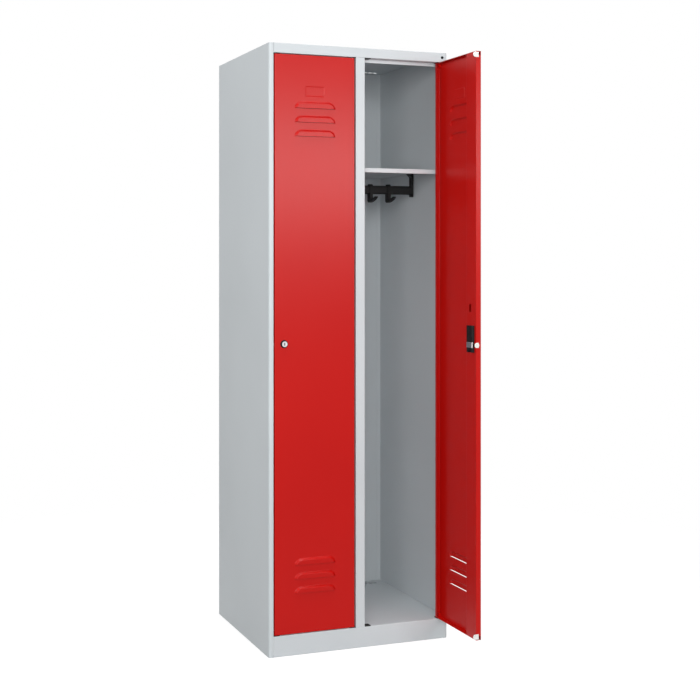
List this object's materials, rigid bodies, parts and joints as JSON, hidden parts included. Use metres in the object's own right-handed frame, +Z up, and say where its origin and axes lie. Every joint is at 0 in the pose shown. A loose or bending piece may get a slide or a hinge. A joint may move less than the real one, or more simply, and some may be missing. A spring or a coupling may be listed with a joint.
{
  "type": "clothing locker",
  "caption": "Tall steel clothing locker with louvred doors hinged side by side, hat shelves and coat rails with sliding hooks.",
  "frame": {"origin": "on the floor, under the middle of the carcass", "axes": "+Z up, +Y towards the back, +X to the right of a person facing the doors"},
  "size_m": [0.6, 0.7515, 1.85],
  "materials": {
    "carcass_paint": "light grey powder coat, satin",
    "door_paint": "red powder coat, satin",
    "black_plastic": "moulded, fine grain",
    "lock_black": "black, satin",
    "chrome": "plated",
    "white_plastic": "moulded",
    "zinc_steel": "zinc plated"
  },
  "bodies": {
    "carcass": {"left_side_panel": "carcass_paint", "right_side_panel": "carcass_paint", "top_panel": "carcass_paint", "base_tray": "carcass_paint", "back_panel": "carcass_paint", "partition": "carcass_paint", "centre_post": "carcass_paint", "upper_hinge_bushes": "black_plastic", "lower_hinge_bushes": "black_plastic", "left_shelf": "carcass_paint", "left_coat_rail": "black_plastic", "left_rail_left_bracket": "black_plastic", "left_rail_right_bracket": "black_plastic", "right_shelf": "carcass_paint", "right_coat_rail": "black_plastic", "right_rail_left_bracket": "black_plastic", "right_rail_right_bracket": "black_plastic"},
    "left_door": {"left_door_pan": "door_paint", "left_lock_stile": "door_paint", "left_hinge_pins": "zinc_steel", "left_edge_buffers": "white_plastic", "left_lock_barrel": "lock_black", "left_lock_case": "lock_black"},
    "left_lock_plug": {"left_lock_plug": "chrome"},
    "left_lock_bolt": {"left_lock_bolt": "chrome"},
    "left_left_hook": {"left_rail_left_hook": "black_plastic"},
    "left_middle_hook": {"left_rail_middle_hook": "black_plastic"},
    "left_right_hook": {"left_rail_right_hook": "black_plastic"},
    "right_door": {"right_door_pan": "door_paint", "right_lock_stile": "door_paint", "right_hinge_pins": "zinc_steel", "right_edge_buffers": "white_plastic", "right_lock_barrel": "lock_black", "right_lock_case": "lock_black"},
    "right_lock_plug": {"right_lock_plug": "chrome"},
    "right_lock_bolt": {"right_lock_bolt": "chrome"},
    "right_left_hook": {"right_rail_left_hook": "black_plastic"},
    "right_middle_hook": {"right_rail_middle_hook": "black_plastic"},
    "right_right_hook": {"right_rail_right_hook": "black_plastic"}
  },
  "joints": [
    {"name": "left_door_hinge", "type": "hinge", "parent": "carcass", "child": "left_door", "pos_m": [-0.026, -0.2435, 0.94], "axis": [0, 0, 1], "range_deg": [0, 110]},
    {"name": "right_door_hinge", "type": "hinge", "parent": "carcass", "child": "right_door", "pos_m": [0.274, -0.2435, 0.94], "axis": [0, 0, 1], "range_deg": [-90, 20]},
    {"name": "left_lock_turn", "type": "hinge", "parent": "left_door", "child": "left_lock_plug", "pos_m": [-0.2517, -0.25, 0.942], "axis": [0, -1, 0], "range_deg": [0, 90]},
    {"name": "left_bolt_slide", "type": "slide", "parent": "left_door", "child": "left_lock_bolt", "axis": [-1, 0, 0], "range_m": [0, 0.01414]},
    {"name": "right_lock_turn", "type": "hinge", "parent": "right_door", "child": "right_lock_plug", "pos_m": [0.28, -0.4692, 0.942], "axis": [1, 0, 0], "range_deg": [0, 90]},
    {"name": "right_bolt_slide", "type": "slide", "parent": "right_door", "child": "right_lock_bolt", "axis": [0, -1, 0], "range_m": [0, 0.01414]},
    {"name": "left_left_hook_slide", "type": "slide", "parent": "carcass", "child": "left_left_hook", "axis": [1, 0, 0], "range_m": [-0.02, 0.02]},
    {"name": "left_middle_hook_slide", "type": "slide", "parent": "carcass", "child": "left_middle_hook", "axis": [1, 0, 0], "range_m": [-0.02, 0.02]},
    {"name": "left_right_hook_slide", "type": "slide", "parent": "carcass", "child": "left_right_hook", "axis": [1, 0, 0], "range_m": [-0.02, 0.02]},
    {"name": "right_left_hook_slide", "type": "slide", "parent": "carcass", "child": "right_left_hook", "axis": [1, 0, 0], "range_m": [-0.02, 0.02]},
    {"name": "right_middle_hook_slide", "type": "slide", "parent": "carcass", "child": "right_middle_hook", "axis": [1, 0, 0], "range_m": [-0.02, 0.02]},
    {"name": "right_right_hook_slide", "type": "slide", "parent": "carcass", "child": "right_right_hook", "axis": [1, 0, 0], "range_m": [-0.02, 0.02]}
  ],
  "couplings": [
    {"joint": "left_lock_turn", "follows": "left_bolt_slide", "rad_per_m": 111.07},
    {"joint": "right_lock_turn", "follows": "right_bolt_slide", "rad_per_m": 111.07}
  ]
}
